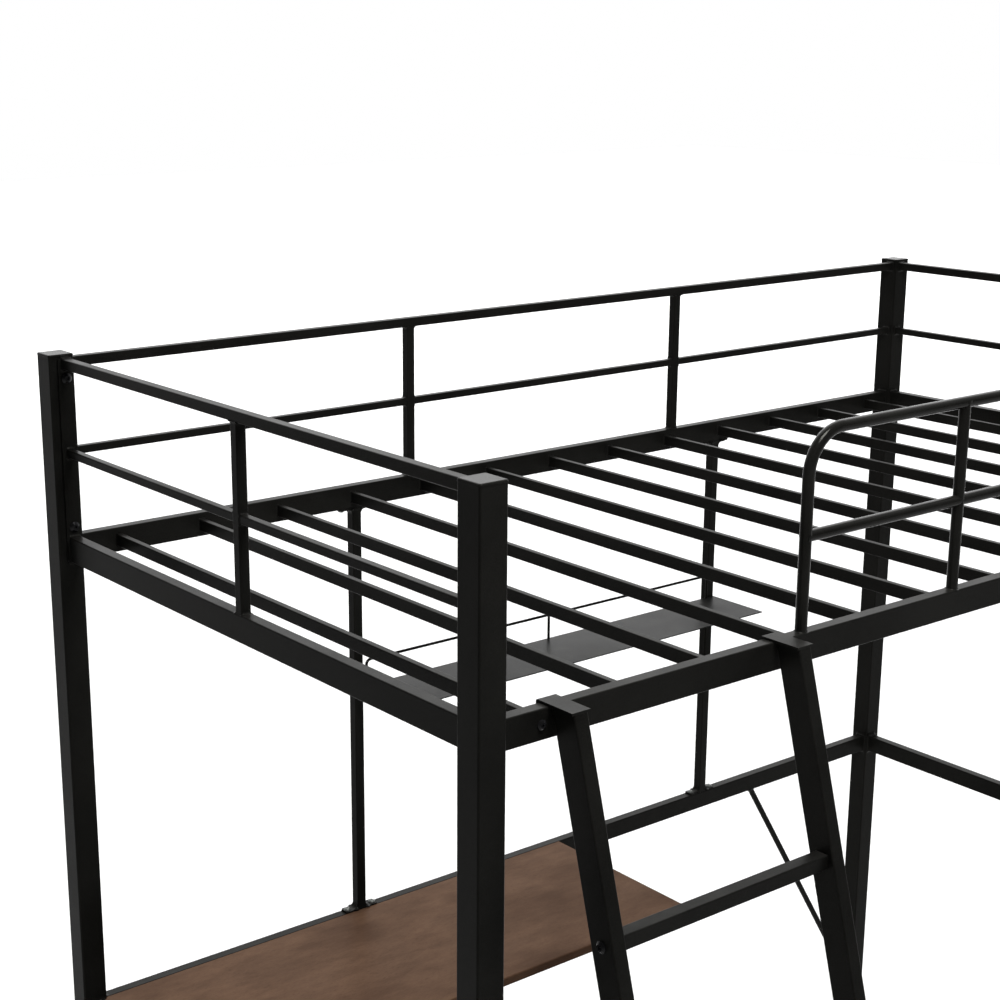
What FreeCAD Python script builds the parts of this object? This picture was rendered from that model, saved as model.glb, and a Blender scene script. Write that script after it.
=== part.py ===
import FreeCAD, Part
import math
import os

# Loft bed with a desk and a shelf below, in welded and bolted steel tube. Millimetres.
# The origin is on the floor at the centre of the whole footprint, leaning ladder included.
# X runs along the bed, the ladder side faces -Y and the wall side faces +Y, Z is up.
# The pieces are built about the middle of the bed and moved to the origin at the end.

V = FreeCAD.Vector

# overall sizes, over the outer faces of the posts and up to the top of the post caps
bed_length = 1982.0
bed_width = 1058.0
bed_height = 1822.0

# corner posts: square tube, a cap plate welded on top and a plastic foot below
post_side = 40.0
post_wall = 1.5
post_corner = 2.6
cap_thick = 3.5
cap_overhang = 0.5
cap_corner = 3.1
cap_edge = 2.4            # rounding of the cap's top edge
foot_thick = 8.0
foot_plug_depth = 22.0
foot_edge = 2.0
plug_clearance = 0.3

# rails: all their centre planes lie this far inside the outer face of the posts
rail_inset = 25.5
rail_wall = 1.2
rail_corner = 2.0
guard_top_drop = 6.5      # post cap top to the top of the upper rails
guard_top_side = 15.5
guard_mid_drop = 144.5    # post cap top to the top of the middle rails
guard_mid_side = 12.4
bed_rail_drop = 281.0     # post cap top to the top of the bed rails
bed_rail_high = 39.0
bed_rail_thick = 19.0
desk_rail_level = 752.0   # floor to the top of the desk rails
desk_rail_high = 35.0
desk_rail_thick = 19.0
guard_upright_side = 15.5
back_upright_offset = 317.4   # bed middle to each upright of the back guard

# end strips of the left end frame, bolted to the two left posts
strip_wide = 25.0
strip_thick = 3.0
strip_corner = 3.0
strip_bolt_top = 36.5     # post cap top to the upper bolt
strip_bolt_low = 265.5    # post cap top to the lower bolt

# slats: tubes on edge between the front and back bed rails
slat_count = 13
slat_pitch = 147.7
slat_thick = 10.0
slat_high = 19.0
slat_drop = 10.0          # top of the bed rail to the top of the slats
slat_wall = 1.0
slat_corner = 1.5

# shelf: two uprights between the back bed rail and the back desk rail, a flat sheet with
# its back edge folded down against them, and a wire rail along the back
shelf_upright_side = 18.0
shelf_upright_offset = 434.8  # bed middle to each shelf upright
foot_plate_long = 68.0
foot_plate_wide = 19.0
foot_plate_thick = 3.0
foot_plate_bolt = 27.0        # upright centre to each bolt of its foot plate
shelf_level = 1178.0          # floor to the top of the sheet
shelf_deep = 134.0
shelf_sheet = 2.0
shelf_fold = 16.0             # height of the folded back edge
wire_dia = 5.0
wire_rise = 47.0              # sheet top to the centre of the wire rail
wire_inset = 5.0              # upright's inner face to the centre of each bent-down end
wire_bend = 9.0               # bend radius at the wire's centre line

# desk: the board lies between the left and back desk rails, level with their tops
desk_long = 992.0
desk_deep = 355.0
desk_thick = 16.0
desk_front_round = 4.0
board_clearance = 0.3
carrier_side = 15.0           # bars below the board
carrier_front_inset = 98.0    # board front edge to the front face of the front bar
carrier_end_inset = 40.0      # board free end to the outer cross bar

# diagonal rods from the back desk rail down to the back posts
brace_dia = 12.0
brace_foot_level = 145.0      # floor to where the rod meets the post
brace_reach = 362.0           # post inner face to where the rod meets the desk rail

# front guard: bent round tube standing on the front bed rail
guard_left = -441.0           # X of its left leg
guard_right = 792.0           # X of its right leg
guard_tube_dia = 16.0
guard_tube_wall = 1.5
guard_bend = 58.0             # bend radius at the centre line
guard_axis_drop = 19.0        # post cap top to the centre of its top run
guard_bar_dia = 15.8
guard_bar_wall = 1.2
guard_bar_drop = 155.0        # post cap top to the centre of its middle bar
guard_upright_count = 3

# ladder: two leaning stiles under hook plates, and level rungs between them
ladder_left = -862.0          # X of the left stile's centre
ladder_gap = 353.0            # between the stiles
stile_wide = 21.0
stile_deep = 38.0
stile_wall = 1.5
stile_corner = 2.0
ladder_lean = 15.5            # degrees from upright
ladder_shoe_high = 22.0
shoe_wall = 2.5
rung_count = 5
rung_side = 20.0
rung_wall = 1.2
rung_corner = 2.0
first_rung_level = 1277.0     # floor to the centre of the top rung
hook_wide = 28.0
hook_thick = 3.5
hook_lip = 25.0               # how far the hook reaches down behind the bed rail
hook_bend = 3.2
hook_gap = 0.3                # between the hook and the rail's rear face

# fasteners
frame_bolt_dia = 8.0
frame_head_dia = 16.5
frame_head_high = 4.4
frame_bolt_long = 16.0
small_bolt_dia = 6.0
small_head_dia = 12.5
small_head_high = 3.3
rung_head_dia = 15.0
rung_head_high = 3.8
slat_bolt_long = 34.0
rung_bolt_long = 30.0
shelf_bolt_long = 12.0
hex_share = 0.57              # hexagon socket across flats, as a share of the shank
bolt_clearance = 0.6          # holes are this much larger than the bolt
nut_thick = 5.0

# derived planes
half_long = bed_length / 2
half_wide = bed_width / 2
post_x = half_long - post_side / 2
post_y = half_wide - post_side / 2
rail_x = half_long - rail_inset
rail_y = half_wide - rail_inset
inner_x = half_long - post_side
inner_y = half_wide - post_side
tube_top = bed_height - cap_thick
guard_top = bed_height - guard_top_drop
guard_mid = bed_height - guard_mid_drop
bed_rail_top = bed_height - bed_rail_drop
bed_rail_low = bed_rail_top - bed_rail_high
desk_rail_low = desk_rail_level - desk_rail_high
slat_top = bed_rail_top - slat_drop
rail_inner_y = rail_y - bed_rail_thick / 2
desk_inner_y = rail_y - desk_rail_thick / 2
desk_inner_x = rail_x - desk_rail_thick / 2


def block(x0, x1, y0, y1, z0, z1):
    return Part.makeBox(x1 - x0, y1 - y0, z1 - z0, V(x0, y0, z0))


def edgesAlong(shape, axis):
    # straight edges that run along one axis
    picked = []
    for edge in shape.Edges:
        a = edge.Vertexes[0].Point
        b = edge.Vertexes[-1].Point
        run = b.sub(a)
        parts = [abs(run.x), abs(run.y), abs(run.z)]
        if parts[axis] > 1e-6 and sum(parts) - parts[axis] < 1e-6:
            picked.append(edge)
    return picked


def roundedBlock(x0, x1, y0, y1, z0, z1, axis, radius):
    # a block with the four edges along one axis rounded
    body = block(x0, x1, y0, y1, z0, z1)
    return body.makeFillet(radius, edgesAlong(body, axis))


def tube(axis, start, end, centre, size, wall, radius):
    # rectangular tube along one axis, or a solid bar if the wall is 0; centre and size
    # are given for the other two axes
    low = [0.0, 0.0, 0.0]
    high = [0.0, 0.0, 0.0]
    others = [i for i in (0, 1, 2) if i != axis]
    low[axis] = start
    high[axis] = end
    for k, i in enumerate(others):
        low[i] = centre[k] - size[k] / 2
        high[i] = centre[k] + size[k] / 2
    outer = roundedBlock(low[0], high[0], low[1], high[1], low[2], high[2], axis, radius)
    if wall <= 0:
        return outer
    for i in others:
        low[i] = low[i] + wall
        high[i] = high[i] - wall
    inner_radius = max(radius - wall, 0.4)
    inner = roundedBlock(low[0], high[0], low[1], high[1], low[2], high[2], axis, inner_radius)
    return outer.cut(inner)


def rod(start, end, dia):
    run = end.sub(start)
    return Part.makeCylinder(dia / 2, run.Length, start, run)


def bentRod(x0, x1, y, low, high, bend, dia, extra):
    # round bar bent down at both ends in an X-Z plane, its open ends lengthened by extra
    turn = bend * (1 - math.cos(math.radians(45)))
    a = V(x0, y, low - extra)
    b = V(x0, y, high - bend)
    c = V(x0 + bend, y, high)
    d = V(x1 - bend, y, high)
    e = V(x1, y, high - bend)
    f = V(x1, y, low - extra)
    edges = [
        Part.LineSegment(a, b).toShape(),
        Part.Arc(b, V(x0 + turn, y, high - turn), c).toShape(),
        Part.LineSegment(c, d).toShape(),
        Part.Arc(d, V(x1 - turn, y, high - turn), e).toShape(),
        Part.LineSegment(e, f).toShape(),
    ]
    ring = Part.Wire([Part.Circle(a, V(0, 0, 1), dia / 2).toShape()])
    return Part.Wire(edges).makePipeShell([ring], True, True)


def bolt(head_seat, direction, dia, head_dia, head_high, length):
    # button head with a hexagon socket; the shank runs from the seat along direction
    along = V(direction).normalize()
    shank = Part.makeCylinder(dia / 2, length, head_seat, along)
    back = along * -1
    skirt = head_high * 0.35
    head = Part.makeCylinder(head_dia / 2, skirt, head_seat, back)
    dome = Part.makeCone(head_dia / 2, head_dia * 0.29, head_high - skirt, head_seat + back * skirt, back)
    crown = head.fuse(dome)
    across = dia * hex_share / math.cos(math.radians(30))
    corners = []
    for k in range(7):
        turn = math.radians(60 * k)
        corners.append(V(across / 2 * math.cos(turn), across / 2 * math.sin(turn), 0))
    socket = Part.Face(Part.makePolygon(corners)).extrude(V(0, 0, -head_high * 0.55))
    socket.Placement = FreeCAD.Placement(head_seat + back * head_high, FreeCAD.Rotation(V(0, 0, 1), back))
    return crown.fuse(shank).cut(socket).removeSplitter()


def nut(seat, direction, dia):
    # hexagon nut whose near face lies on the seat
    along = V(direction).normalize()
    across = dia * 1.6 / math.cos(math.radians(30))
    corners = []
    for k in range(7):
        turn = math.radians(60 * k)
        corners.append(V(across / 2 * math.cos(turn), across / 2 * math.sin(turn), 0))
    body = Part.Face(Part.makePolygon(corners)).extrude(V(0, 0, nut_thick))
    bore = Part.makeCylinder((dia + bolt_clearance) / 2, nut_thick, V(0, 0, 0), V(0, 0, 1))
    body = body.cut(bore)
    body.Placement = FreeCAD.Placement(seat, FreeCAD.Rotation(V(0, 0, 1), along))
    return body


def hole(centre, direction, dia, reach):
    # cutter for a clearance hole that reaches both ways from its centre
    along = V(direction).normalize()
    start = centre.sub(along * reach)
    return Part.makeCylinder((dia + bolt_clearance) / 2, 2 * reach, start, along)


nodes = {}

# ---- left end frame strips and their bolts, which set the holes in the left posts
strip_low = bed_rail_low
strip_high = guard_top
strip_bolt_levels = (bed_height - strip_bolt_top, bed_height - strip_bolt_low)
strip_holes = []
frame_bolts = []
frame_nuts = []
for side in (-1, 1):
    face = side * inner_y
    for level in strip_bolt_levels:
        seat = V(-rail_x, face - side * strip_thick, level)
        frame_bolts.append(bolt(seat, V(0, side, 0), frame_bolt_dia, frame_head_dia,
                                frame_head_high, frame_bolt_long))
        strip_holes.append(hole(V(-rail_x, face, level), V(0, 1, 0), frame_bolt_dia,
                                strip_thick + post_wall + 1))
        frame_nuts.append(nut(V(-rail_x, face + side * post_wall, level), V(0, side, 0), frame_bolt_dia))

# ---- posts
for name, sx, sy in (("post_front_left", -1, -1), ("post_back_left", -1, 1),
                     ("post_front_right", 1, -1), ("post_back_right", 1, 1)):
    post = tube(2, foot_thick, tube_top, (sx * post_x, sy * post_y), (post_side, post_side),
                post_wall, post_corner)
    if sx < 0:
        for cutter in strip_holes:
            post = post.cut(cutter)
    nodes[name] = [post]

caps = []
feet = []
for sx in (-1, 1):
    for sy in (-1, 1):
        reach = post_side / 2 + cap_overhang
        cx = sx * post_x
        cy = sy * post_y
        cap = roundedBlock(cx - reach, cx + reach, cy - reach, cy + reach, tube_top, bed_height,
                           2, cap_corner)
        rim = [e for e in cap.Edges if e.BoundBox.ZMin > bed_height - 1e-6]
        caps.append(cap.makeFillet(cap_edge, rim))
        half = post_side / 2
        pad = roundedBlock(cx - half, cx + half, cy - half, cy + half, 0.0, foot_thick, 2, post_corner)
        rim = [e for e in pad.Edges if abs(e.BoundBox.ZMax) < 1e-6]
        pad = pad.makeFillet(foot_edge, rim)
        core = half - post_wall - plug_clearance
        plug = roundedBlock(cx - core, cx + core, cy - core, cy + core, foot_thick,
                            foot_thick + foot_plug_depth, 2, post_corner - post_wall)
        feet.append(pad.fuse(plug))
nodes["post_caps"] = caps
nodes["post_feet"] = feet

# ---- end frames: left with bolted strips, right welded straight to its posts
for name, sx in (("left", -1), ("right", 1)):
    x = sx * rail_x
    end = inner_y - strip_thick if sx < 0 else inner_y
    half_up = guard_upright_side / 2
    nodes[name + "_top_rail"] = [tube(1, -end, end, (x, guard_top - guard_top_side / 2),
                                      (guard_top_side, guard_top_side), rail_wall, rail_corner)]
    mids = []
    for y0, y1 in ((-end, -half_up), (half_up, end)):
        mids.append(tube(1, y0, y1, (x, guard_mid - guard_mid_side / 2),
                         (guard_mid_side, guard_mid_side), rail_wall, rail_corner))
    nodes[name + "_mid_rails"] = mids
    nodes[name + "_bed_rail"] = [tube(1, -end, end, (x, bed_rail_top - bed_rail_high / 2),
                                      (bed_rail_thick, bed_rail_high), rail_wall, rail_corner)]
    nodes[name + "_upright"] = [tube(2, bed_rail_top, guard_top - guard_top_side, (x, 0.0),
                                     (guard_upright_side, guard_upright_side), rail_wall, rail_corner)]

for name, side in (("left_front_strip", -1), ("left_back_strip", 1)):
    near = side * inner_y
    far = side * (inner_y - strip_thick)
    plate = roundedBlock(-rail_x - strip_wide / 2, -rail_x + strip_wide / 2, min(near, far), max(near, far),
                         strip_low, strip_high, 1, strip_corner)
    for cutter in strip_holes:
        plate = plate.cut(cutter)
    nodes[name] = [plate]

# ---- back frame
nodes["back_top_rail"] = [tube(0, -inner_x, inner_x, (rail_y, guard_top - guard_top_side / 2),
                               (guard_top_side, guard_top_side), rail_wall, rail_corner)]
nodes["back_bed_rail"] = [tube(0, -inner_x, inner_x, (rail_y, bed_rail_top - bed_rail_high / 2),
                               (bed_rail_thick, bed_rail_high), rail_wall, rail_corner)]
stops = [-inner_x]
for x in (-back_upright_offset, back_upright_offset):
    stops.append(x - guard_upright_side / 2)
    stops.append(x + guard_upright_side / 2)
stops.append(inner_x)
mids = []
for k in range(0, len(stops), 2):
    mids.append(tube(0, stops[k], stops[k + 1], (rail_y, guard_mid - guard_mid_side / 2),
                     (guard_mid_side, guard_mid_side), rail_wall, rail_corner))
nodes["back_mid_rails"] = mids
for name, x in (("back_upright_left", -back_upright_offset), ("back_upright_right", back_upright_offset)):
    nodes[name] = [tube(2, bed_rail_top, guard_top - guard_top_side, (x, rail_y),
                        (guard_upright_side, guard_upright_side), rail_wall, rail_corner)]

# ---- front bed rail and slats; the two outer slats are bolted through both bed rails
slat_x = [(k - (slat_count - 1) / 2) * slat_pitch for k in range(slat_count)]
slat_level = slat_top - slat_high / 2
slat_bolts = []
slat_bolt_holes = []
slat_plugs = []
plug_long = 24.0
for x in (slat_x[0], slat_x[-1]):
    for side in (-1, 1):
        seat = V(x, side * (rail_inner_y + bed_rail_thick), slat_level)
        slat_bolts.append(bolt(seat, V(0, -side, 0), small_bolt_dia, small_head_dia,
                               small_head_high, slat_bolt_long))
        middle = V(x, side * rail_y, slat_level)
        slat_bolt_holes.append(hole(middle, V(0, 1, 0), small_bolt_dia, bed_rail_thick))
        core_x = slat_thick / 2 - slat_wall - 0.1
        core_z = slat_high / 2 - slat_wall - 0.1
        start = side * (rail_inner_y - plug_long)
        plug = block(x - core_x, x + core_x, min(start, side * rail_inner_y), max(start, side * rail_inner_y),
                     slat_level - core_z, slat_level + core_z)
        bore = hole(V(x, side * rail_inner_y, slat_level), V(0, 1, 0), small_bolt_dia, plug_long + 1)
        slat_plugs.append(plug.cut(bore))

front_rail = tube(0, -inner_x, inner_x, (-rail_y, bed_rail_top - bed_rail_high / 2),
                  (bed_rail_thick, bed_rail_high), rail_wall, rail_corner)
back_rail = nodes["back_bed_rail"][0]
for cutter in slat_bolt_holes:
    front_rail = front_rail.cut(cutter)
    back_rail = back_rail.cut(cutter)
nodes["front_bed_rail"] = [front_rail]
nodes["back_bed_rail"] = [back_rail]

slats = []
for x in slat_x:
    slats.append(tube(1, -rail_inner_y, rail_inner_y, (x, slat_level), (slat_thick, slat_high),
                      slat_wall, slat_corner))
nodes["slats"] = slats
nodes["slat_end_plugs"] = slat_plugs
nodes["slat_bolts"] = slat_bolts

# ---- desk rails
desk_mid = desk_rail_level - desk_rail_high / 2
for name, sx in (("left_desk_rail", -1), ("right_desk_rail", 1)):
    nodes[name] = [tube(1, -inner_y, inner_y, (sx * rail_x, desk_mid),
                        (desk_rail_thick, desk_rail_high), rail_wall, rail_corner)]
back_desk = tube(0, -inner_x, inner_x, (rail_y, desk_mid), (desk_rail_thick, desk_rail_high),
                 rail_wall, rail_corner)

# ---- shelf uprights with a plate at each end, bolted down on the desk rail
shelf_bolts = []
upright_low = desk_rail_level + foot_plate_thick
upright_high = bed_rail_low - foot_plate_thick
for name, sx in (("shelf_upright_left", -1), ("shelf_upright_right", 1)):
    x = sx * shelf_upright_offset
    nodes[name] = [tube(2, upright_low, upright_high, (x, rail_y),
                        (shelf_upright_side, shelf_upright_side), rail_wall, rail_corner)]
    plates = []
    for low in (desk_rail_level, upright_high):
        plates.append(roundedBlock(x - foot_plate_long / 2, x + foot_plate_long / 2,
                                   rail_y - foot_plate_wide / 2, rail_y + foot_plate_wide / 2,
                                   low, low + foot_plate_thick, 2, 3.0))
    for step in (-foot_plate_bolt, foot_plate_bolt):
        low_seat = V(x + step, rail_y, upright_low)
        shelf_bolts.append(bolt(low_seat, V(0, 0, -1), small_bolt_dia, small_head_dia,
                                small_head_high, shelf_bolt_long))
        high_seat = V(x + step, rail_y, upright_high)
        shelf_bolts.append(bolt(high_seat, V(0, 0, 1), small_bolt_dia, small_head_dia,
                                small_head_high, shelf_bolt_long))
        drill = hole(low_seat, V(0, 0, 1), small_bolt_dia, foot_plate_thick + rail_wall + 2)
        plates[0] = plates[0].cut(drill)
        back_desk = back_desk.cut(drill)
        drill = hole(high_seat, V(0, 0, 1), small_bolt_dia, foot_plate_thick + rail_wall + 2)
        plates[1] = plates[1].cut(drill)
        nodes["back_bed_rail"] = [nodes["back_bed_rail"][0].cut(drill)]
    nodes[name + "_plates"] = plates
nodes["back_desk_rail"] = [back_desk]
nodes["shelf_bolts"] = shelf_bolts

# ---- shelf sheet, as long as the outer faces of the two uprights
shelf_back = rail_y - shelf_upright_side / 2
shelf_front = shelf_back - shelf_deep
shelf_end = shelf_upright_offset + shelf_upright_side / 2
sheet = block(-shelf_end, shelf_end, shelf_front, shelf_back, shelf_level - shelf_sheet, shelf_level)
fold = block(-shelf_end, shelf_end, shelf_back - shelf_sheet, shelf_back, shelf_level - shelf_fold, shelf_level)
nodes["shelf_sheet"] = [sheet.fuse(fold).removeSplitter()]

# wire rail: one wire bent down at both ends, with a short post at its middle
wire_level = shelf_level + wire_rise
wire_y = shelf_back - wire_dia / 2
wire_end = shelf_upright_offset - shelf_upright_side / 2 - wire_inset
nodes["shelf_wire_rail"] = [bentRod(-wire_end, wire_end, wire_y, shelf_level, wire_level, wire_bend, wire_dia, 0)]
nodes["shelf_wire_post"] = [rod(V(0, wire_y, shelf_level), V(0, wire_y, wire_level - wire_dia / 2), wire_dia)]

# ---- desk board and the bars below it
board_left = -desk_inner_x + board_clearance
board_right = -desk_inner_x + desk_long
board_back = desk_inner_y - board_clearance
board_front = desk_inner_y - desk_deep
board_low = desk_rail_level - desk_thick
board = block(board_left, board_right, board_front, board_back, board_low, desk_rail_level)
front_edges = [e for e in edgesAlong(board, 0) if e.BoundBox.YMax < board_front + 1e-6]
board = board.makeFillet(desk_front_round, front_edges)
notch = block(-half_long, -inner_x + board_clearance, inner_y - board_clearance, half_wide,
              board_low - 1, desk_rail_level + 1)
board = board.cut(notch)
nodes["desk_board"] = [board]

carrier_mid = board_low - carrier_side / 2
front_bar_y = board_front + carrier_front_inset + carrier_side / 2
outer_bar_x = board_right - carrier_end_inset - carrier_side / 2
middle_bar_x = (-desk_inner_x + outer_bar_x) / 2
bar_size = (carrier_side, carrier_side)
nodes["desk_front_bar"] = [tube(0, -desk_inner_x, outer_bar_x - carrier_side / 2, (front_bar_y, carrier_mid),
                                bar_size, rail_wall, rail_corner)]
nodes["desk_middle_bar"] = [tube(1, front_bar_y + carrier_side / 2, desk_inner_y, (middle_bar_x, carrier_mid),
                                 bar_size, rail_wall, rail_corner)]
nodes["desk_outer_bar"] = [tube(1, front_bar_y - carrier_side / 2, desk_inner_y, (outer_bar_x, carrier_mid),
                                bar_size, rail_wall, rail_corner)]

# ---- diagonal rods, trimmed flush to the desk rail and to the post
for name, sx in (("brace_left", -1), ("brace_right", 1)):
    foot = V(sx * inner_x, rail_y, brace_foot_level)
    head = V(sx * (inner_x - brace_reach), rail_y, desk_rail_low)
    run = head.sub(foot).normalize() * 30
    full = rod(foot.sub(run), head.add(run), brace_dia)
    if sx < 0:
        keep = block(-inner_x, 0, rail_y - 20, rail_y + 20, 0, desk_rail_low)
    else:
        keep = block(0, inner_x, rail_y - 20, rail_y + 20, 0, desk_rail_low)
    nodes[name] = [full.common(keep)]

# ---- front guard: bent tube, uprights, and a bar that runs between them
guard_axis = bed_height - guard_axis_drop
guard_foot = bed_rail_top
outer_bend = bentRod(guard_left, guard_right, -rail_y, guard_foot, guard_axis, guard_bend,
                     guard_tube_dia, 0)
inner_bend = bentRod(guard_left, guard_right, -rail_y, guard_foot, guard_axis, guard_bend,
                     guard_tube_dia - 2 * guard_tube_wall, 1)
nodes["guard_tube"] = [outer_bend.cut(inner_bend)]

guard_step = (guard_right - guard_left) / (guard_upright_count + 1)
upright_x = [guard_left + guard_step * (k + 1) for k in range(guard_upright_count)]
guard_uprights = []
upright_outers = []
for x in upright_x:
    outer = Part.makeCylinder(guard_bar_dia / 2, guard_axis - guard_foot, V(x, -rail_y, guard_foot))
    inner = Part.makeCylinder(guard_bar_dia / 2 - guard_bar_wall, guard_axis - guard_foot,
                              V(x, -rail_y, guard_foot))
    upright_outers.append(outer)
    guard_uprights.append(outer.cut(inner).cut(outer_bend))
nodes["guard_uprights"] = guard_uprights

bar_level = bed_height - guard_bar_drop
bar_points = [guard_left] + upright_x + [guard_right]
bars = []
for x0, x1 in zip(bar_points[:-1], bar_points[1:]):
    start = V(x0, -rail_y, bar_level)
    end = V(x1, -rail_y, bar_level)
    piece = rod(start, end, guard_bar_dia).cut(rod(start, end, guard_bar_dia - 2 * guard_bar_wall))
    for cutter in upright_outers + [outer_bend]:
        piece = piece.cut(cutter)
    bars.extend(sorted(piece.Solids, key=lambda s: s.Volume)[-1:])
nodes["guard_mid_bars"] = bars

# ---- ladder: the rear faces of the stiles start at the top front edge of the bed rail
lean = math.radians(ladder_lean)
stile_flat = stile_deep / math.cos(lean)      # depth of a stile measured level
rail_face = -(rail_y + bed_rail_thick / 2)    # front face of the front bed rail


def stileRear(level):
    # Y of the rear face of the stiles at one height
    return rail_face - 0.3 - (bed_rail_top - level) * math.tan(lean)


def stileMiddle(level):
    return stileRear(level) - stile_flat / 2


def leaningTube(x, wide, deep, wall, radius, low, high):
    # tube along the lean, cut level at both ends
    spare = 60.0
    down = (bed_rail_top - low) / math.cos(lean)
    body = tube(2, -down - spare, spare, (0.0, 0.0), (wide, deep), wall, radius)
    body.Placement = FreeCAD.Placement(V(x, stileMiddle(bed_rail_top), bed_rail_top),
                                       FreeCAD.Rotation(V(1, 0, 0), -ladder_lean))
    keep = block(x - 60, x + 60, -half_wide - 900, half_wide, low, high)
    return body.common(keep)


ladder_x = (ladder_left, ladder_left + ladder_gap + stile_wide)
rung_bolts = []
rung_levels = []
rung_pitch = first_rung_level / (rung_count)
for k in range(rung_count):
    rung_levels.append(first_rung_level - k * rung_pitch)

rungs = []
rung_drills = []
for level in rung_levels:
    y = stileMiddle(level)
    rungs.append(tube(0, ladder_x[0] + stile_wide / 2, ladder_x[1] - stile_wide / 2, (y, level),
                      (rung_side, rung_side), rung_wall, rung_corner))
    for x, side in ((ladder_x[0], 1), (ladder_x[1], -1)):
        seat = V(x - side * stile_wide / 2, y, level)
        rung_bolts.append(bolt(seat, V(side, 0, 0), small_bolt_dia, rung_head_dia, rung_head_high,
                               rung_bolt_long))
        rung_drills.append(hole(V(x, y, level), V(1, 0, 0), small_bolt_dia, stile_wide / 2 + 1))
nodes["ladder_rungs"] = rungs
nodes["rung_bolts"] = rung_bolts

for name, x in (("ladder_stile_left", ladder_x[0]), ("ladder_stile_right", ladder_x[1])):
    stile = leaningTube(x, stile_wide, stile_deep, stile_wall, stile_corner, shoe_wall, bed_rail_top)
    for cutter in rung_drills:
        stile = stile.cut(cutter)
    nodes[name] = [stile]

# shoes: leaning cups with a flat sole
shoe_reach = shoe_wall + plug_clearance
shoes = []
for x in ladder_x:
    cup = leaningTube(x, stile_wide + 2 * shoe_reach, stile_deep + 2 * shoe_reach, 0,
                      stile_corner + shoe_reach, 0.0, ladder_shoe_high)
    pocket = leaningTube(x, stile_wide + 2 * plug_clearance, stile_deep + 2 * plug_clearance, 0,
                         stile_corner + plug_clearance, shoe_wall, ladder_shoe_high + 1)
    shoes.append(cup.cut(pocket))
nodes["ladder_shoes"] = shoes

# hook plates: flat over the rail and the stile, folded down behind the rail
hook_back = -(rail_y - bed_rail_thick / 2) + hook_gap
hook_front = stileRear(bed_rail_top) - stile_flat - 0.5
for name, x in (("ladder_hook_left", ladder_x[0]), ("ladder_hook_right", ladder_x[1])):
    x0 = x - hook_wide / 2
    x1 = x + hook_wide / 2
    flat = block(x0, x1, hook_front, hook_back + hook_thick, bed_rail_top, bed_rail_top + hook_thick)
    lip = block(x0, x1, hook_back, hook_back + hook_thick, bed_rail_top - hook_lip, bed_rail_top + hook_thick)
    hook = flat.fuse(lip).removeSplitter()
    bend = [e for e in edgesAlong(hook, 0)
            if e.BoundBox.YMin > hook_back + hook_thick - 1e-6 and e.BoundBox.ZMin > bed_rail_top + 1e-6]
    nodes[name] = [hook.makeFillet(hook_bend - 0.1, bend)]

nodes["frame_bolts"] = frame_bolts
nodes["frame_nuts"] = frame_nuts

# ---- footprint: from the front of the ladder shoes to the back of the post caps
footprint_front = stileMiddle(0) - (stile_deep / 2 + shoe_reach) / math.cos(lean)
footprint_back = half_wide + cap_overhang
to_origin = V(0, -(footprint_front + footprint_back) / 2, 0)
print("moved to the origin by", to_origin)

os.makedirs("parts", exist_ok=True)
for name in nodes:
    solids = []
    for shape in nodes[name]:
        solids.extend(shape.translated(to_origin).Solids)
    result = solids[0] if len(solids) == 1 else Part.makeCompound(solids)
    print(name, "solids", len(solids), "valid", result.isValid(), "volume", round(sum(s.Volume for s in solids)))
    result.exportStep("parts/" + name + ".step")
print(len(nodes), "nodes")
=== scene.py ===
import math
import random
import bmesh
import bpy
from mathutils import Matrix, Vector


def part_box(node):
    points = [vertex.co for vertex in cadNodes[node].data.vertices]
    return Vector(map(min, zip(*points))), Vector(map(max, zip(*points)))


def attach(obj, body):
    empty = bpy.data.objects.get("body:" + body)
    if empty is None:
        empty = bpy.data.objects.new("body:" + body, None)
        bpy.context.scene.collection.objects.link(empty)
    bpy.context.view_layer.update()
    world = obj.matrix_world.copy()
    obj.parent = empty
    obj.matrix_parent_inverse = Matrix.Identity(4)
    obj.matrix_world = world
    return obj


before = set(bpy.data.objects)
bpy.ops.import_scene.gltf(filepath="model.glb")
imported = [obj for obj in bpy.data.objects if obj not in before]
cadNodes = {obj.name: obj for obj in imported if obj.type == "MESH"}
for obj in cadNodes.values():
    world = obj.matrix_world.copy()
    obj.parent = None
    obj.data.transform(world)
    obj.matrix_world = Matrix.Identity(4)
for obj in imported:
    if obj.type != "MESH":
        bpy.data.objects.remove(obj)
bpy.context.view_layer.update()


# small helpers for node trees
def startFinish(name):
    finish = bpy.data.materials.new(name)
    finish.use_nodes = True
    tree = finish.node_tree
    tree.nodes.clear()
    out = tree.nodes.new("ShaderNodeOutputMaterial")
    shader = tree.nodes.new("ShaderNodeBsdfPrincipled")
    tree.links.new(shader.outputs["BSDF"], out.inputs["Surface"])
    place = tree.nodes.new("ShaderNodeTexCoord")
    return finish, tree, shader, place.outputs["Object"]


def noise(tree, where, scale, detail=3.0, rough=0.5, stretch=None):
    node = tree.nodes.new("ShaderNodeTexNoise")
    node.inputs["Scale"].default_value = scale
    node.inputs["Detail"].default_value = detail
    node.inputs["Roughness"].default_value = rough
    if stretch:
        squeeze = tree.nodes.new("ShaderNodeMapping")
        squeeze.inputs["Scale"].default_value = stretch
        tree.links.new(where, squeeze.inputs["Vector"])
        where = squeeze.outputs["Vector"]
    tree.links.new(where, node.inputs["Vector"])
    return node.outputs["Fac"]


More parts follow.
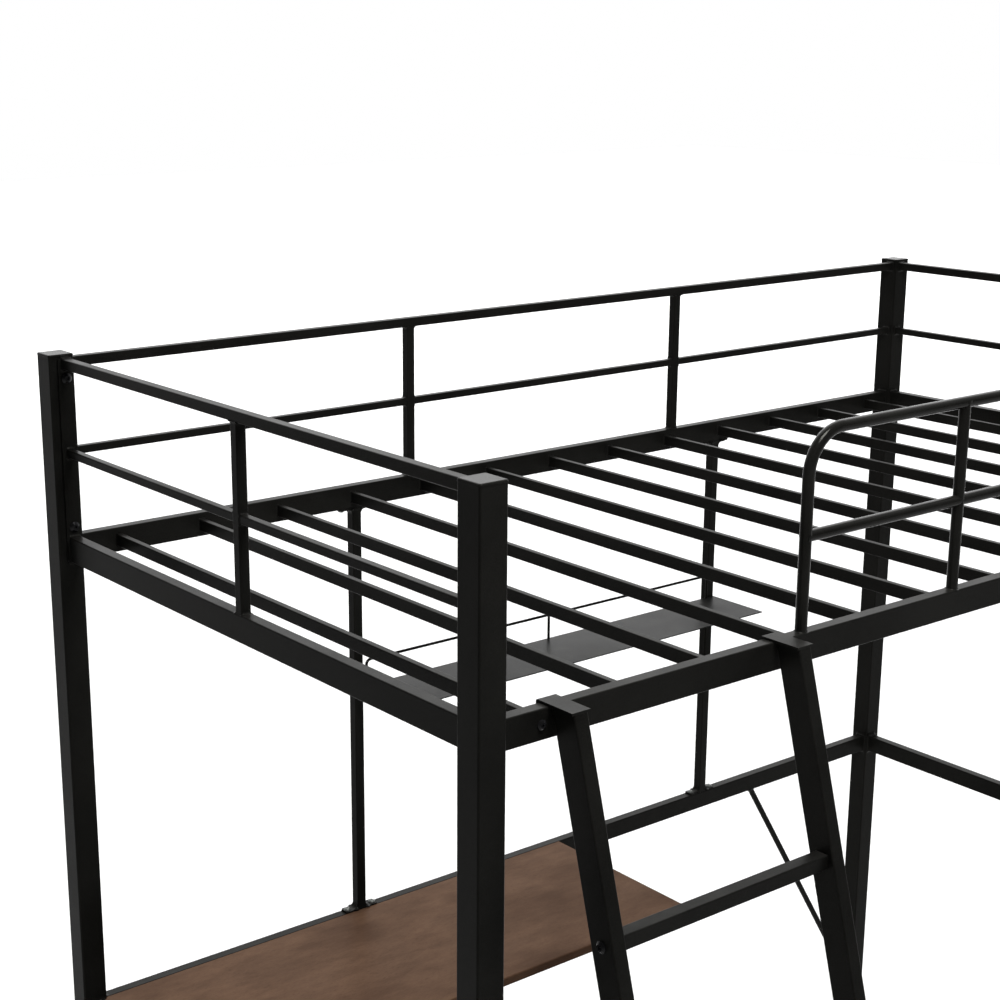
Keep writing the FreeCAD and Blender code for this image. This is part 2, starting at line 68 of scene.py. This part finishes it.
def spread(tree, value, low, high, toLow, toHigh):
    # maps low..high onto toLow..toHigh
    node = tree.nodes.new("ShaderNodeMapRange")
    sockets = ("From Min", "From Max", "To Min", "To Max")
    for socket, number in zip(sockets, (low, high, toLow, toHigh)):
        node.inputs[socket].default_value = number
    tree.links.new(value, node.inputs["Value"])
    return node.outputs["Result"]


def combine(tree, a, b, operation="MULTIPLY"):
    node = tree.nodes.new("ShaderNodeMath")
    node.operation = operation
    for socket, value in zip(node.inputs, (a, b)):
        if isinstance(value, (int, float)):
            socket.default_value = value
        else:
            tree.links.new(value, socket)
    return node.outputs["Value"]


def blendColour(tree, amount, first, second):
    node = tree.nodes.new("ShaderNodeMix")
    node.data_type = "RGBA"
    tree.links.new(amount, node.inputs["Factor"])
    for socket, colour in ((node.inputs[6], first), (node.inputs[7], second)):      # A and B as colours
        if isinstance(colour, tuple):
            socket.default_value = (*colour, 1.0)
        else:
            tree.links.new(colour, socket)
    return node.outputs[2]      # the colour result


def bumpFrom(tree, height, strength, distance, under=None):
    node = tree.nodes.new("ShaderNodeBump")
    node.inputs["Strength"].default_value = strength
    node.inputs["Distance"].default_value = distance
    tree.links.new(height, node.inputs["Height"])
    if under:
        tree.links.new(under, node.inputs["Normal"])
    return node.outputs["Normal"]


def edgeMask(tree, radius, keep):
    # 1 on corners, where wear and painted edge highlights go, 0 on flat faces
    soft = tree.nodes.new("ShaderNodeBevel")
    soft.samples = 4
    soft.inputs["Radius"].default_value = radius
    true = tree.nodes.new("ShaderNodeNewGeometry")
    dot = tree.nodes.new("ShaderNodeVectorMath")
    dot.operation = "DOT_PRODUCT"
    tree.links.new(soft.outputs["Normal"], dot.inputs[0])
    tree.links.new(true.outputs["True Normal"], dot.inputs[1])
    return spread(tree, dot.outputs["Value"], 1.0, keep, 0.0, 1.0)


def upwardMask(tree):
    # 1 on faces that look up, where dust lies; the desk board's painted edge shade is also set from it
    true = tree.nodes.new("ShaderNodeNewGeometry")
    parts = tree.nodes.new("ShaderNodeSeparateXYZ")
    tree.links.new(true.outputs["True Normal"], parts.inputs["Vector"])
    return spread(tree, parts.outputs["Z"], 0.6, 1.0, 0.0, 1.0)


# near-black satin powder coat on all the tube and plate
powderCoat = {
    "dark": (0.0020, 0.0020, 0.0018),
    "light": (0.0062, 0.0061, 0.0055),
    # lighter corners: partly wear, partly a painted edge highlight
    "wearAndEdgeHighlight": (0.024, 0.024, 0.023),
    "dust": (0.022, 0.021, 0.019),
    "sheen": 0.026,             # specular level
    "tint": (1.0, 0.99, 0.90),  # colour of its reflections
    "roughLow": 0.30,
    "roughHigh": 0.42,
    "grainSize": 1000.0,
    "grainDepth": 0.00020,
    "peelSize": 420.0,
    "peelDepth": 0.00025,
    "wearAndHighlightWidth": 0.0016,        # how far wear and the painted edge highlight reach from a corner
}


def makePowderCoat(name, look):
    finish, tree, shader, where = startFinish(name)
    cloud = noise(tree, where, 7.0, 4.0, 0.6)
    speck = noise(tree, where, look["grainSize"], 2.0, 0.7)
    peel = noise(tree, where, look["peelSize"], 2.0, 0.5)
    tone = combine(tree, spread(tree, cloud, 0.35, 0.65, 0.0, 0.5),
                   spread(tree, speck, 0.35, 0.65, 0.0, 0.7), "ADD")
    coat = blendColour(tree, tone, look["dark"], look["light"])
    # corners lightened in patches: partly wear, partly a painted edge highlight
    rubbed = spread(tree, noise(tree, where, 38.0, 5.0, 0.7), 0.48, 0.72, 0.0, 0.8)
    wearAndHighlightMask = combine(tree, edgeMask(tree, look["wearAndHighlightWidth"], 0.80), rubbed)
    coat = blendColour(tree, wearAndHighlightMask, coat, look["wearAndEdgeHighlight"])
    settled = spread(tree, noise(tree, where, 24.0, 6.0, 0.65), 0.45, 0.75, 0.0, 0.35)
    dust = combine(tree, upwardMask(tree), settled)
    coat = blendColour(tree, dust, coat, look["dust"])
    tree.links.new(coat, shader.inputs["Base Color"])
    gloss = combine(tree, spread(tree, cloud, 0.3, 0.7, look["roughLow"], look["roughHigh"]),
                    spread(tree, speck, 0.3, 0.7, -0.03, 0.03), "ADD")
    tree.links.new(gloss, shader.inputs["Roughness"])
    fine = bumpFrom(tree, speck, 0.35, look["grainDepth"])
    tree.links.new(bumpFrom(tree, peel, 0.3, look["peelDepth"], fine), shader.inputs["Normal"])
    shader.inputs["Specular IOR Level"].default_value = look["sheen"]
    shader.inputs["Specular Tint"].default_value = (*look["tint"], 1.0)
    return finish


frameFinish = makePowderCoat("blackPowderCoat", powderCoat)
sheetCoat = dict(powderCoat, light=(0.009, 0.009, 0.009), sheen=0.028,
                 roughLow=0.32, roughHigh=0.42, peelSize=260.0)
sheetFinish = makePowderCoat("blackSheetCoat", sheetCoat)
guardCoat = dict(powderCoat, sheen=0.05, roughLow=0.13, roughHigh=0.20,
                 grainDepth=0.00008, peelDepth=0.00010)     # smooth drawn tube
guardFinish = makePowderCoat("blackGuardCoat", guardCoat)
capCoat = dict(powderCoat, sheen=0.03, roughLow=0.20, roughHigh=0.30)
capFinish = makePowderCoat("blackCapCoat", capCoat)
# on the welds the corners keep the body's tone: no wear or painted edge highlight there
weldCoat = dict(powderCoat, wearAndEdgeHighlight=(0.006, 0.006, 0.006), sheen=0.035,
                roughLow=0.22, roughHigh=0.32)
weldFinish = makePowderCoat("blackWeldCoat", weldCoat)

# blackened bolts, smoother and glossier than the tube, and bright plated ones on the shelf; both get a
# painted highlight, a lighter colour round the rims of the heads
boltBlack = {
    "dark": (0.003, 0.003, 0.003),
    "light": (0.007, 0.007, 0.008),
    "rim": (0.02, 0.02, 0.022),
    "rough": (0.13, 0.22),
    "metal": 0.0,
    "sheen": 0.08,
}
boltPlated = {
    "dark": (0.06, 0.065, 0.06),
    "light": (0.12, 0.125, 0.118),
    "rim": (0.20, 0.20, 0.195),
    "rough": (0.36, 0.50),
    "metal": 0.5,
    "sheen": 0.4,
}


def makeBolt(name, look):
    finish, tree, shader, where = startFinish(name)
    smear = noise(tree, where, 160.0, 4.0, 0.6)
    fine = noise(tree, where, 2600.0, 2.0, 0.5)
    # painted highlight: a lighter colour round the edges of the head
    rim = edgeMask(tree, 0.0008, 0.85)
    skin = blendColour(tree, spread(tree, smear, 0.35, 0.7, 0.0, 0.7), look["dark"], look["light"])
    skin = blendColour(tree, combine(tree, rim, 0.5), skin, look["rim"])
    tree.links.new(skin, shader.inputs["Base Color"])
    tree.links.new(spread(tree, smear, 0.3, 0.7, *look["rough"]), shader.inputs["Roughness"])
    tree.links.new(bumpFrom(tree, fine, 0.2, 0.00005), shader.inputs["Normal"])
    shader.inputs["Metallic"].default_value = look["metal"]
    shader.inputs["Specular IOR Level"].default_value = look["sheen"]
    return finish


boltFinish = makeBolt("blackenedBolt", boltBlack)
platedFinish = makeBolt("platedBolt", boltPlated)

# moulded black plastic of the feet and shoes
footPlastic = {
    "dark": (0.012, 0.012, 0.012),
    "scuff": (0.05, 0.05, 0.048),
    "rough": (0.5, 0.66),
    "sheen": 0.35,
}


def makeFootPlastic(look):
    finish, tree, shader, where = startFinish("mouldedFoot")
    pebble = noise(tree, where, 1100.0, 2.0, 0.5)
    scratch = noise(tree, where, 90.0, 6.0, 0.75, (1.0, 1.0, 4.0))
    scuffs = spread(tree, scratch, 0.56, 0.72, 0.0, 0.7)
    skin = blendColour(tree, scuffs, look["dark"], look["scuff"])
    tree.links.new(skin, shader.inputs["Base Color"])
    tree.links.new(spread(tree, pebble, 0.3, 0.7, *look["rough"]), shader.inputs["Roughness"])
    tree.links.new(bumpFrom(tree, pebble, 0.4, 0.00015), shader.inputs["Normal"])
    shader.inputs["Specular IOR Level"].default_value = look["sheen"]
    return finish


footFinish = makeFootPlastic(footPlastic)

# brown wood-look face of the desk board: soft cloudy figure, fine linen grain, satin, with painted shade
# darkening its edge faces
deskBrown = {
    "deep": (0.032, 0.0170, 0.0110),
    "mid": (0.062, 0.0345, 0.0210),
    "warm": (0.090, 0.0510, 0.0310),
    "paintedEdgeShade": 0.55,       # painted shade: the edges are painted a darker band than the top
    "sheen": 0.008,
    "rough": (0.36, 0.48),
}


def makeDeskBrown(look):
    finish, tree, shader, where = startFinish("brownWoodFace")
    patches = noise(tree, where, 5.0, 2.0, 0.5, (1.0, 1.6, 1.0))
    figure = noise(tree, where, 22.0, 4.0, 0.6, (0.7, 2.0, 1.0))
    pores = noise(tree, where, 420.0, 3.0, 0.7, (0.30, 1.6, 1.0))
    linen = noise(tree, where, 900.0, 2.0, 0.5)
    brown = blendColour(tree, spread(tree, figure, 0.30, 0.70, 0.0, 1.0), look["mid"], look["warm"])
    brown = blendColour(tree, spread(tree, patches, 0.46, 0.72, 0.0, 0.60), brown, look["deep"])
    brown = blendColour(tree, spread(tree, pores, 0.50, 0.72, 0.0, 0.50), brown, look["deep"])
    # painted shade: faces that don't look up are darkened
    paintedEdgeShadeBand = spread(tree, upwardMask(tree), 0.0, 1.0, look["paintedEdgeShade"], 1.0)
    shade = tree.nodes.new("ShaderNodeVectorMath")
    shade.operation = "SCALE"
    tree.links.new(brown, shade.inputs[0])
    tree.links.new(paintedEdgeShadeBand, shade.inputs["Scale"])
    tree.links.new(shade.outputs["Vector"], shader.inputs["Base Color"])
    tree.links.new(spread(tree, patches, 0.3, 0.7, *look["rough"]), shader.inputs["Roughness"])
    grain = bumpFrom(tree, pores, 0.22, 0.0001)
    tree.links.new(bumpFrom(tree, linen, 0.12, 0.00008, grain), shader.inputs["Normal"])
    shader.inputs["Specular IOR Level"].default_value = look["sheen"]
    return finish


deskFinish = makeDeskBrown(deskBrown)
print("finishes made")

# each finish on its CAD nodes
finishOf = {"desk_board": deskFinish, "shelf_sheet": sheetFinish, "post_caps": capFinish,
            "shelf_bolts": platedFinish}
for name in ("post_feet", "ladder_shoes", "slat_end_plugs"):
    finishOf[name] = footFinish
for name in ("frame_bolts", "frame_nuts", "slat_bolts", "rung_bolts"):
    finishOf[name] = boltFinish
for name in ("guard_tube", "guard_uprights", "guard_mid_bars"):
    finishOf[name] = guardFinish
for name, piece in cadNodes.items():
    piece.data.materials.clear()
    piece.data.materials.append(finishOf.get(name, frameFinish))
print("finishes on the nodes")


# boxes of the separate solids of one node
def solidBoxes(node):
    mesh = cadNodes[node].data
    key = {}
    group = []
    index = []
    for v in mesh.vertices:
        spot = tuple(round(c, 5) for c in v.co)
        if spot not in key:
            key[spot] = len(group)
            group.append(key[spot])
        index.append(key[spot])

    def root(i):
        while group[i] != i:
            group[i] = group[group[i]]
            i = group[i]
        return i

    for polygon in mesh.polygons:
        first = root(index[polygon.vertices[0]])
        for other in polygon.vertices[1:]:
            group[root(index[other])] = first
    boxes = {}
    for spot, i in key.items():
        low, high = boxes.setdefault(root(i), (list(spot), list(spot)))
        for k in range(3):
            low[k] = min(low[k], spot[k])
            high[k] = max(high[k], spot[k])
    return sorted(boxes.values())


# weld beads: a fillet ring round the end of a tube, sunk a little into both metals; the
# numbers say how far the bead reaches out along the two cross directions: one for both
# ways, or four for the low and high side of the first and the low and high of the second
weldLook = {
    "inner": 0.0020,        # rails on the posts: towards the middle of the bed,
    "outer": 0.0055,        # towards the outside,
    "tall": 0.0055,         # up and down
    "deskInner": 0.0030,
    "deskOuter": 0.0080,
    "deskTall": 0.0075,
    "strip": (0.0010, 0.0050),
    "thin": (0.0010, 0.0042),       # where a narrow rail meets an upright of much the same width
    "foot": (0.0008, 0.0045),       # an upright on a rail of much the same width
    "slat": (0.0026, 0.0026),
    "plate": (0.0095, 0.0004),
    "bar": (0.0022, 0.0022),
    "round": (0.0008, 0.0022),      # a round bar on a round tube
    "guardFoot": (0.0030, 0.0018),
    "guardTop": (0.0024, 0.0006),
    "guardLeg": (0.0034, 0.0013),
    "brace": (0.0120, 0.0060, 0.0025),      # acute side, open side, across
    "sink": 0.0012,
    "roundSink": 0.004,     # deeper where a round end is cut to fit a round tube
    "around": 56,           # points round the ring
    "across": 7,            # points over the fillet
    "ripple": 0.09,
    "ripplePitch": 0.0026,
    "jitter": 0.05,         # uneven hand
    "backing": 0.0004,      # how far the bead's back lies inside the tube
}
weldRandom = random.Random(11)
tubeCorner = 0.002
slatCorner = 0.0015
hair = 1e-6                 # keeps a full round just under half of its width


def sectionOutline(size, corner, count):
    # points and outward directions round a rounded rectangle
    w, h = size[0] / 2 - corner, size[1] / 2 - corner
    outline = []
    turns = ((w, h, 0), (-w, h, 90), (-w, -h, 180), (w, -h, 270))
    arcPoints = max(3, count // 8)
    for cx, cy, start in turns:
        for k in range(arcPoints + 1):
            a = math.radians(start + 90 * k / arcPoints)
            d = (math.cos(a), math.sin(a))
            outline.append(((cx + corner * d[0], cy + corner * d[1]), d))
    full = []
    for k, (p, d) in enumerate(outline):
        q, e = outline[(k + 1) % len(outline)]
        gap = math.hypot(q[0] - p[0], q[1] - p[1])
        steps = max(1, round(gap / weldLook["ripplePitch"] * 1.6))
        for s in range(steps):
            t = s / steps
            spot = (p[0] + (q[0] - p[0]) * t, p[1] + (q[1] - p[1]) * t)
            if t == 0 or d == e:
                full.append((spot, d))
            else:
                full.append((spot, (d[0] + (e[0] - d[0]) * t, d[1] + (e[1] - d[1]) * t)))
    return full


def reachToward(legs, da, db):
    # reach of the bead in one direction, from its two or four legs
    low, high, down, up = legs if len(legs) == 4 else (legs[0], legs[0], legs[1], legs[1])
    a = high if da > 0 else low
    b = up if db > 0 else down
    return math.hypot(a * da, b * db) / max(1e-9, math.hypot(da, db))


def addRing(verts, faces, ring):
    axis, away = ring["axis"], ring["away"]
    sink = ring.get("sink", weldLook["sink"])
    lean = ring.get("lean", (0.0, 0.0))
    legs = ring["legs"]
    outline = sectionOutline(ring["size"], ring["corner"], weldLook["around"])
    others = [k for k in range(3) if k != axis]
    start = len(verts)
    across = weldLook["across"]
    phase = weldRandom.uniform(0, 6.28)
    walked = 0.0
    profileCount = across + 3
    for n, ((a, b), (da, db)) in enumerate(outline):
        if n:
            (pa, pb), _ = outline[n - 1]
            walked += math.hypot(a - pa, b - pb)
        lump = 1 + weldLook["ripple"] * math.sin(walked / weldLook["ripplePitch"] * 6.28 + phase)
        lump += weldRandom.uniform(-weldLook["jitter"], weldLook["jitter"])
        reach = reachToward(legs, da, db) * lump
        climb = max(reach, 0.5 * max(legs))
        profile = []
        for k in range(across):
            t = k / (across - 1) * math.pi / 2
            profile.append((reach * (1 - math.sin(t)), climb * (1 - math.cos(t))))
        profile += [(-weldLook["backing"], climb), (-weldLook["backing"], -sink), (reach, -sink)]
        for u, w in profile:
            spot = [0.0, 0.0, 0.0]
            spot[axis] = ring["at"] + away * w
            spot[others[0]] = ring["centre"][0] + a + da * u + lean[0] * w
            spot[others[1]] = ring["centre"][1] + b + db * u + lean[1] * w
            verts.append(spot)
    total = len(outline)
    for n in range(total):
        for k in range(profileCount):
            p = start + n * profileCount + k
            q = start + n * profileCount + (k + 1) % profileCount
            r = start + ((n + 1) % total) * profileCount + (k + 1) % profileCount
            s = start + ((n + 1) % total) * profileCount + k
            faces.append((p, q, r, s))


def weldObject(name, rings):
    verts, faces = [], []
    for ring in rings:
        addRing(verts, faces, ring)
    mesh = bpy.data.meshes.new(name)
    mesh.from_pydata(verts, [], faces)
    mesh.validate()
    bead = bpy.data.objects.new(name, mesh)
    bpy.context.scene.collection.objects.link(bead)
    mesh.materials.append(weldFinish)
    fixNormals(mesh)
    for polygon in mesh.polygons:
        polygon.use_smooth = True
    mesh.set_sharp_from_angle(angle=math.radians(40))
    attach(bead, "root")


def fixNormals(mesh):
    shell = bmesh.new()
    shell.from_mesh(mesh)
    bmesh.ops.recalc_face_normals(shell, faces=shell.faces)
    shell.to_mesh(mesh)
    shell.free()


def ringsAtEnds(node, axis, corner, lowLegs, highLegs, which=None, sink=None):
    # one ring at each end that has legs, lowLegs at the smaller coordinate
    rings = []
    others = [k for k in range(3) if k != axis]
    for n, (low, high) in enumerate(solidBoxes(node)):
        if which and n not in which:
            continue
        centre = tuple((low[k] + high[k]) / 2 for k in others)
        size = tuple(high[k] - low[k] for k in others)
        for at, away, legs in ((low[axis], 1, lowLegs), (high[axis], -1, highLegs)):
            if legs:
                ring = {"axis": axis, "at": at, "away": away, "centre": centre, "size": size, "legs": legs,
                        "corner": min(size) / 2 - hair if corner == "round" else corner}
                if sink:
                    ring["sink"] = sink
                rings.append(ring)
    return rings


def postLegs(inner, outer, tall):
    # a rail on a post: first with the outside of the bed on its high side, then on its low side
    return (inner, outer, tall, tall), (outer, inner, tall, tall)


strip, thin, foot, bar = (weldLook[k] for k in ("strip", "thin", "foot", "bar"))
highOut, lowOut = postLegs(weldLook["inner"], weldLook["outer"], weldLook["tall"])
deskHighOut, deskLowOut = postLegs(weldLook["deskInner"], weldLook["deskOuter"], weldLook["deskTall"])
weldGroups = {}

# the two ends: the left one on its bolted strips, the right one straight on the posts
for side, onPost in (("left", strip), ("right", highOut)):
    rings = ringsAtEnds(side + "_top_rail", 1, tubeCorner, onPost, onPost)
    rings += ringsAtEnds(side + "_bed_rail", 1, tubeCorner, onPost, onPost)
    rings += ringsAtEnds(side + "_mid_rails", 1, tubeCorner, onPost, thin, which=(0,))
    rings += ringsAtEnds(side + "_mid_rails", 1, tubeCorner, thin, onPost, which=(1,))
    rings += ringsAtEnds(side + "_upright", 2, tubeCorner, foot, foot)
    weldGroups["weld_" + side + "_end"] = rings

# the back, with the outer legs of its uprights turned the other way
rings = ringsAtEnds("back_top_rail", 0, tubeCorner, highOut, highOut)
rings += ringsAtEnds("back_bed_rail", 0, tubeCorner, highOut, highOut)
for n, (lowLegs, highLegs) in enumerate(((highOut, thin), (thin, thin), (thin, highOut))):
    rings += ringsAtEnds("back_mid_rails", 0, tubeCorner, lowLegs, highLegs, which=(n,))
for upright in ("back_upright_left", "back_upright_right"):
    rings += ringsAtEnds(upright, 2, tubeCorner, foot[::-1], foot[::-1])
weldGroups["weld_back"] = rings
weldGroups["weld_front_rail"] = ringsAtEnds("front_bed_rail", 0, tubeCorner, lowOut, lowOut)

# slats, apart from the two end ones, which are bolted
slatLegs = weldLook["slat"]
inBetween = range(1, len(solidBoxes("slats")) - 1)
weldGroups["weld_slats"] = ringsAtEnds("slats", 1, slatCorner, slatLegs, slatLegs, which=inBetween)

# rails and bars at desk level
rings = ringsAtEnds("left_desk_rail", 1, tubeCorner, deskLowOut, deskLowOut)
rings += ringsAtEnds("right_desk_rail", 1, tubeCorner, deskHighOut, deskHighOut)
rings += ringsAtEnds("back_desk_rail", 0, tubeCorner, deskHighOut, deskHighOut)
rings += ringsAtEnds("desk_front_bar", 0, tubeCorner, bar, bar)
for crossBar in ("desk_middle_bar", "desk_outer_bar"):
    rings += ringsAtEnds(crossBar, 1, tubeCorner, bar, bar)
weldGroups["weld_desk_rails"] = rings

# shelf uprights on their foot plates
rings = []
for upright in ("shelf_upright_left", "shelf_upright_right"):
    rings += ringsAtEnds(upright, 2, tubeCorner, weldLook["plate"], weldLook["plate"])
weldGroups["weld_shelf_uprights"] = rings

# front guard: uprights, middle bars and the two feet of the bent tube
deep = weldLook["roundSink"]
rings = ringsAtEnds("guard_uprights", 2, "round", weldLook["guardFoot"], None)
rings += ringsAtEnds("guard_uprights", 2, "round", None, weldLook["guardTop"], sink=deep)
rings += ringsAtEnds("guard_mid_bars", 0, "round", weldLook["round"], weldLook["round"], sink=deep)
low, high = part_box("guard_tube")
thick = high.y - low.y
for x in (low.x + thick / 2, high.x - thick / 2):
    rings.append({"axis": 2, "at": low.z, "away": 1, "centre": (x, (low.y + high.y) / 2),
                  "size": (thick, thick), "corner": thick / 2 - hair, "legs": weldLook["guardLeg"]})
weldGroups["weld_guard"] = rings

# braces: the rods meet the desk rail and the post at a slant
acute, obtuse, across = weldLook["brace"]
rings = []
for side, toPost in (("left", -1), ("right", 1)):
    low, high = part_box("brace_" + side)
    thick = high.y - low.y
    y = (low.y + high.y) / 2
    slope = (high.x - low.x - thick) / (high.z - low.z - thick)
    flatCut = thick * math.hypot(1, slope)                 # section of the rod where it meets the desk rail
    uprightCut = thick * math.hypot(1, 1 / slope)          # and where it meets the post
    if side == "right":
        topX, postX = low.x + flatCut / 2, high.x
        topLegs = (acute, obtuse, across, across)
    else:
        topX, postX = high.x - flatCut / 2, low.x
        topLegs = (obtuse, acute, across, across)
    rings.append({"axis": 2, "at": high.z, "away": -1, "centre": (topX, y), "size": (flatCut, thick),
                  "corner": thick / 2 - hair, "legs": topLegs, "lean": (toPost * slope, 0.0)})
    rings.append({"axis": 0, "at": postX, "away": -toPost, "centre": (y, low.z + uprightCut / 2),
                  "size": (thick, uprightCut), "corner": thick / 2 - hair,
                  "legs": (across, across, obtuse, obtuse), "lean": (0.0, 1 / slope)})
weldGroups["weld_braces"] = rings
for name, rings in weldGroups.items():
    weldObject(name, rings)
print("weld beads:", sum(len(r) for r in weldGroups.values()))

# pale floor, soft light and the camera
studio = {
    "floor": (0.93, 0.93, 0.93),
    "floorHalf": 26.0,
    "floorRough": 0.8,
    "floorSheen": 0.1,
    "seen": 1.0,            # backdrop as the camera sees it
    "bright": (52.0, 0.25), # heading of the brighter side, and how far it leans up
    "frontSide": 0.10,      # light from the camera's side
    "farSide": 1.80,        # light from behind the bed
    "skyBox": {"spot": (14.0, 18.0, 12.0), "aim": (14.0, 18.0, 0.0), "size": 30.0, "glow": 2.0},
    "topBox": {"spot": (-0.6, -1.0, 3.4), "aim": (-0.5, -0.6, 1.5), "size": 0.8, "glow": 50.0},
}


def makeFloor(look):
    half = look["floorHalf"]
    corners = [(-half, -half, 0), (half, -half, 0), (half, half, 0), (-half, half, 0)]
    mesh = bpy.data.meshes.new("floor")
    mesh.from_pydata(corners, [], [(0, 1, 2, 3)])
    floor = bpy.data.objects.new("floor", mesh)
    bpy.context.scene.collection.objects.link(floor)
    finish, _, shader, _ = startFinish("paleFloor")
    shader.inputs["Base Color"].default_value = (*look["floor"], 1.0)
    shader.inputs["Roughness"].default_value = look["floorRough"]
    shader.inputs["Specular IOR Level"].default_value = look["floorSheen"]
    mesh.materials.append(finish)


def makeWorld(look):
    world = bpy.data.worlds.new("studio")
    bpy.context.scene.world = world
    world.use_nodes = True
    tree = world.node_tree
    tree.nodes.clear()
    out = tree.nodes.new("ShaderNodeOutputWorld")
    sky = tree.nodes.new("ShaderNodeBackground")
    place = tree.nodes.new("ShaderNodeTexCoord")
    dot = tree.nodes.new("ShaderNodeVectorMath")
    dot.operation = "DOT_PRODUCT"
    heading, lift = look["bright"]
    dot.inputs[1].default_value = (math.cos(math.radians(heading)), math.sin(math.radians(heading)), lift)
    tree.links.new(place.outputs["Generated"], dot.inputs[0])
    glow = spread(tree, dot.outputs["Value"], 0.0, 0.8, look["frontSide"], look["farSide"])
    ray = tree.nodes.new("ShaderNodeLightPath")
    shown = tree.nodes.new("ShaderNodeMix")
    tree.links.new(ray.outputs["Is Camera Ray"], shown.inputs["Factor"])
    tree.links.new(glow, shown.inputs[2])
    shown.inputs[3].default_value = look["seen"]
    tree.links.new(shown.outputs[0], sky.inputs["Strength"])
    sky.inputs["Color"].default_value = (1.0, 1.0, 1.0, 1.0)
    tree.links.new(sky.outputs["Background"], out.inputs["Surface"])


def addSoftbox(name, box):
    light = bpy.data.lights.new(name, "AREA")
    light.shape = "SQUARE"
    light.size = box["size"]
    light.energy = math.pi * box["size"] ** 2 * box["glow"]
    lamp = bpy.data.objects.new(name, light)
    lamp.location = box["spot"]
    lamp.rotation_euler = (Vector(box["aim"]) - Vector(box["spot"])).to_track_quat("-Z", "Y").to_euler()
    lamp.visible_camera = False
    bpy.context.scene.collection.objects.link(lamp)


makeFloor(studio)
makeWorld(studio)
for name in ("skyBox", "topBox"):
    addSoftbox(name, studio[name])
bpy.context.scene.view_settings.view_transform = "Standard"

viewPoint = {
    "spot": (-2.17603, -1.77253, 2.28176),
    "heading": 52.296,      # degrees from +X towards +Y
    "down": 14.930,
    "roll": 0.026,
    "lens": 66.234,
    "shift": (0.05661, 0.02432),
    "sensor": 36.0,
    "farthest": 200.0,
}
camera = bpy.data.objects.new("camera", bpy.data.cameras.new("camera"))
bpy.context.scene.collection.objects.link(camera)
camera.data.sensor_width = viewPoint["sensor"]
camera.data.lens = viewPoint["lens"]
camera.data.shift_x, camera.data.shift_y = viewPoint["shift"]
camera.data.clip_end = viewPoint["farthest"]
camera.location = viewPoint["spot"]
camera.rotation_euler = (math.radians(90 - viewPoint["down"]), math.radians(viewPoint["roll"]),
                         math.radians(viewPoint["heading"] - 90))
bpy.context.scene.camera = camera
print("floor, lights and camera placed")
